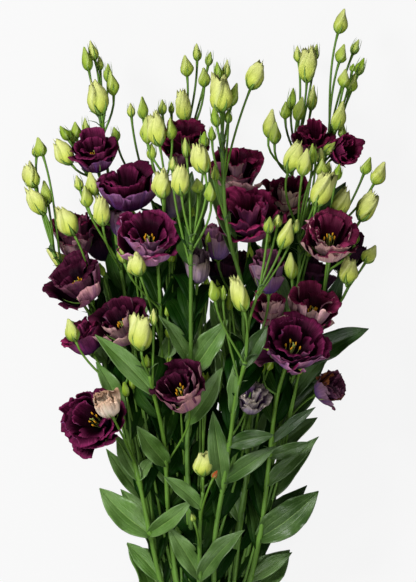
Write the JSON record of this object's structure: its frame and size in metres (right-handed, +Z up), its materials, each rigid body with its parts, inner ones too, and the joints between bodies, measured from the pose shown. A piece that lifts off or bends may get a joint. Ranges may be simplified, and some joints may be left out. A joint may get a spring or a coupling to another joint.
{
  "type": "bunch of lisianthus",
  "caption": "Tied bunch of cut lisianthus lying on its back, with ruffled plum blooms, pale green buds and grey-green leaves.",
  "frame": {"origin": "middle of the flat facet under the tie, on the surface that the bunch lies on", "axes": "+Z up from that surface, +Y along the bunch from the tie to the flowers, +X to the right seen from above"},
  "size_m": [0.3631, 0.747, 0.2157],
  "materials": {
    "stem_green": "living stems, leaves and buds, satin with a grey bloom",
    "petal_plum": "deep plum petals, velvety inside, dusty mauve outside",
    "petal_mauve": "dusty mauve petals",
    "petal_lilac": "pale wilted lilac petals",
    "petal_cream": "wilted cream petals with brown edges",
    "tie_band": "plain tan rubber band"
  },
  "bodies": {
    "root": {"tie": "tie_band", "stem_front_low": "stem_green", "stem_center_right": "stem_green", "stem_center_left": "stem_green", "stem_left_front": "stem_green", "stem_low_left": "stem_green", "stem_right_front": "stem_green", "stem_right": "stem_green", "stem_right_upper": "stem_green", "stem_back_right": "stem_green", "stem_center": "stem_green", "stem_left_center": "stem_green", "stem_back_left": "stem_green", "stem_left_upper": "stem_green", "stem_far_left": "stem_green", "bloom_violet_side": "petal_mauve", "bloom_beige_side": "petal_lilac", "bloom_wilted_closed": "petal_lilac", "bloom_front_left_open": "petal_plum", "bloom_far_left_open": "petal_plum", "bloom_wilted_cream": "petal_cream", "bloom_left_low": "petal_plum", "bloom_left_red": "petal_plum", "bloom_main_front": "petal_plum", "bloom_right_low": "petal_mauve", "bloom_right_pink": "petal_plum", "bloom_right_open": "petal_plum", "bloom_top_right": "petal_plum", "bloom_far_right": "petal_plum", "bloom_behind_right": "petal_plum", "bloom_rest_right": "petal_plum", "bloom_under_right": "petal_plum", "bloom_lavender_small": "petal_lilac", "bloom_magenta_cup": "petal_plum", "bloom_center_cup": "petal_plum", "bloom_center_side": "petal_mauve", "bloom_front_center_open": "petal_plum", "bloom_left_cup": "petal_plum", "bloom_brown_closed": "petal_mauve", "bloom_center_ruffled": "petal_plum", "bloom_grey_side": "petal_lilac", "bloom_under_left": "petal_plum", "bloom_under_center": "petal_plum", "bloom_upper_left_cup": "petal_plum", "bloom_left_big": "petal_plum", "bloom_rest_left": "petal_plum", "bloom_left_mauve": "petal_plum"}
  },
  "joints": []
}
